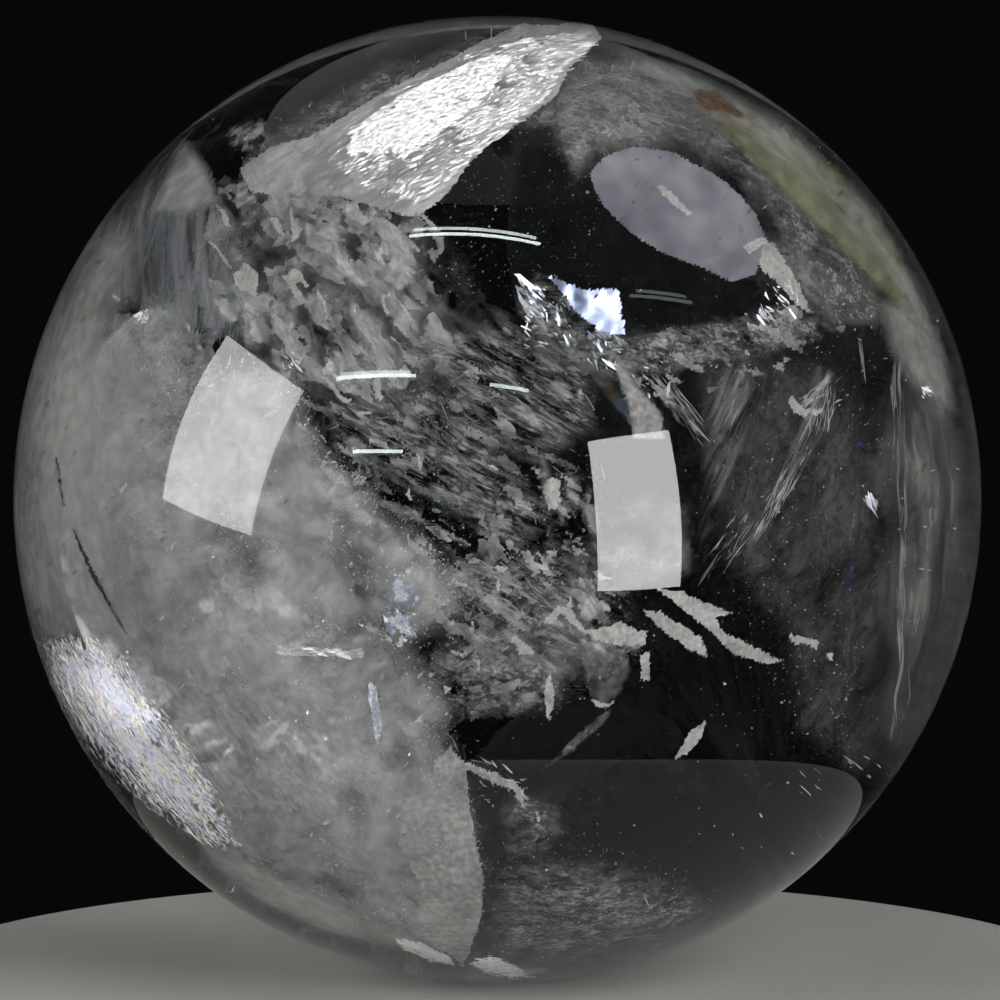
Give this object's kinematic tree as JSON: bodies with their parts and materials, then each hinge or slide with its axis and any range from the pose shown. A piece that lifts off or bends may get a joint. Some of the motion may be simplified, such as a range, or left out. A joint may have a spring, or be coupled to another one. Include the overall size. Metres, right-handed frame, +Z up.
{
  "type": "clear quartz sphere",
  "caption": "Polished ball of clear rock crystal with milky veils and healed cracks inside, standing on a small ground flat.",
  "frame": {"origin": "middle of the ground flat that the ball stands on", "axes": "+Z up through the ball's centre and square to the flat; the picture looks along +Y, with +X to its right"},
  "size_m": [0.1, 0.1, 0.0994],
  "materials": {
    "rock_crystal": "polished"
  },
  "bodies": {
    "root": {"quartz_sphere": "rock_crystal"}
  },
  "joints": []
}
